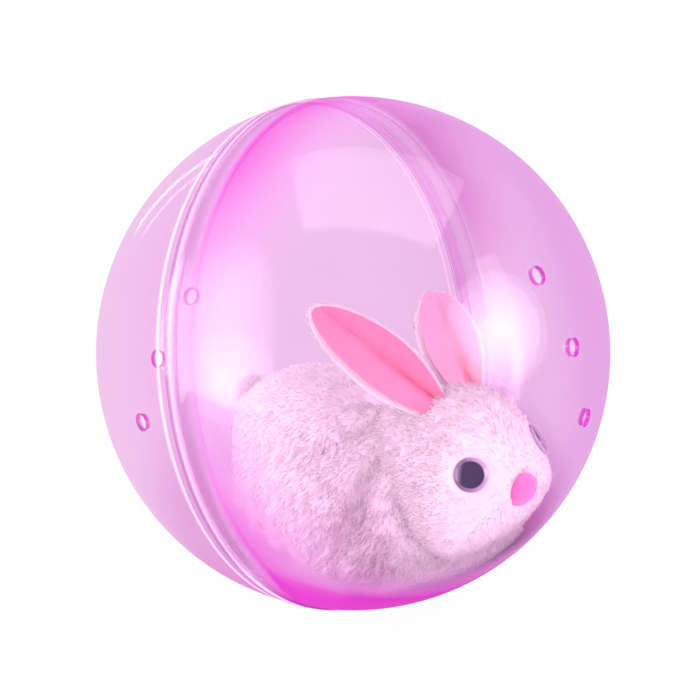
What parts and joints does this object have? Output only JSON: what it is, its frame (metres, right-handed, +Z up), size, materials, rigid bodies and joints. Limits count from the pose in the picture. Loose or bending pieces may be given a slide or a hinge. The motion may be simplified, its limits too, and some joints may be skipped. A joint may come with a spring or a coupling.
{
  "type": "rolling ball pet toy",
  "caption": "Clear pink ball in lapped halves; a plush rabbit on a geared motor cart runs round inside it and rolls it along.",
  "frame": {"origin": "centre of the ball", "axes": "+X is the way the rabbit faces, +Y its left, +Z up; the ball rests on the floor below"},
  "size_m": [0.125, 0.1247, 0.125],
  "materials": {
    "front_shell": "clear magenta-pink, polished",
    "rear_shell": "clear pale lilac, polished",
    "plush": "white long-pile plush",
    "satin": "pink satin",
    "nose": "pink flocked",
    "eye_clear": "clear",
    "pupil": "dark, polished",
    "white_plastic": "moulded, satin",
    "grey_plastic": "moulded, satin",
    "black_plastic": "moulded, satin",
    "pink_plastic": "moulded, satin",
    "gear_plastic": "natural acetal",
    "tyre_rubber": "matt",
    "steel": "drawn",
    "motor_steel": "plated can",
    "brass": "plated strip",
    "cell": "plain metal can",
    "black_wire": "insulation",
    "red_wire": "insulation"
  },
  "bodies": {
    "rear_half": {"rear_half_shell": "rear_shell"},
    "front_half": {"front_half_shell": "front_shell"},
    "rabbit_cart": {"body_plush": "plush", "head_plush": "plush", "right_ear": "plush", "left_ear": "plush", "right_ear_lining": "satin", "left_ear_lining": "satin", "nose_button": "nose", "right_eye_dome": "eye_clear", "left_eye_dome": "eye_clear", "right_eye_pupil": "pupil", "left_eye_pupil": "pupil", "right_eye_washer": "white_plastic", "left_eye_washer": "white_plastic", "chassis_tray": "white_plastic", "chassis_cover": "white_plastic", "gearbox_plate": "grey_plastic", "motor_can": "motor_steel", "motor_end_cap": "black_plastic", "switch_body": "black_plastic", "first_idler_pin": "steel", "second_idler_pin": "steel", "roller_pin": "steel", "battery_spring": "steel", "cover_screw_1": "steel", "cover_screw_2": "steel", "cover_screw_3": "steel", "cover_screw_4": "steel", "battery_cell": "cell", "battery_contact": "brass", "wire_battery_to_switch": "black_wire", "wire_switch_to_motor": "black_wire", "wire_motor_to_battery": "red_wire", "tail": "plush"},
    "drive_set": {"drive_axle": "steel", "axle_gear": "gear_plastic", "right_wheel_hub": "pink_plastic", "left_wheel_hub": "pink_plastic", "right_tyre": "tyre_rubber", "left_tyre": "tyre_rubber"},
    "second_idler": {"second_idler_gear": "gear_plastic"},
    "first_idler": {"first_idler_gear": "gear_plastic"},
    "motor_rotor": {"motor_shaft": "steel", "motor_pinion": "gear_plastic"},
    "roller": {"rear_roller": "grey_plastic"},
    "battery_lid": {"battery_door": "white_plastic", "battery_door_screw": "steel"},
    "switch_slider": {"switch_knob": "grey_plastic"}
  },
  "joints": [
    {"name": "front_half_pull", "type": "slide", "parent": "rear_half", "child": "front_half", "axis": [0.9379, 0.1994, 0.284], "range_m": [0, 0.07]},
    {"name": "rabbit_orbit", "type": "hinge", "parent": "rear_half", "child": "rabbit_cart", "pos_m": [0, 0, 0], "axis": [0, 1, 0], "continuous": true},
    {"name": "drive_axle_spin", "type": "hinge", "parent": "rabbit_cart", "child": "drive_set", "pos_m": [0.028, 0, -0.04036], "axis": [0, 1, 0], "continuous": true},
    {"name": "second_idler_spin", "type": "hinge", "parent": "rabbit_cart", "child": "second_idler", "pos_m": [0.02153, 0, -0.03273], "axis": [0, 1, 0], "continuous": true},
    {"name": "first_idler_spin", "type": "hinge", "parent": "rabbit_cart", "child": "first_idler", "pos_m": [0.01312, 0, -0.02732], "axis": [0, 1, 0], "continuous": true},
    {"name": "motor_spin", "type": "hinge", "parent": "rabbit_cart", "child": "motor_rotor", "pos_m": [0.0035, 0, -0.0246], "axis": [0, 1, 0], "continuous": true},
    {"name": "roller_spin", "type": "hinge", "parent": "rabbit_cart", "child": "roller", "pos_m": [-0.0275, 0, -0.04872], "axis": [0, 1, 0], "continuous": true},
    {"name": "battery_door_drop", "type": "slide", "parent": "rabbit_cart", "child": "battery_lid", "axis": [0, 0, -1], "range_m": [0, 0.006]},
    {"name": "switch_slide", "type": "slide", "parent": "rabbit_cart", "child": "switch_slider", "axis": [1, 0, 0], "range_m": [0, 0.002]}
  ],
  "couplings": [
    {"joint": "drive_axle_spin", "follows": "rabbit_orbit", "ratio": -6.4578},
    {"joint": "second_idler_spin", "follows": "rabbit_orbit", "ratio": 19.373},
    {"joint": "first_idler_spin", "follows": "rabbit_orbit", "ratio": -58.12},
    {"joint": "motor_spin", "follows": "rabbit_orbit", "ratio": 232.48},
    {"joint": "roller_spin", "follows": "rabbit_orbit", "ratio": -14.986}
  ]
}
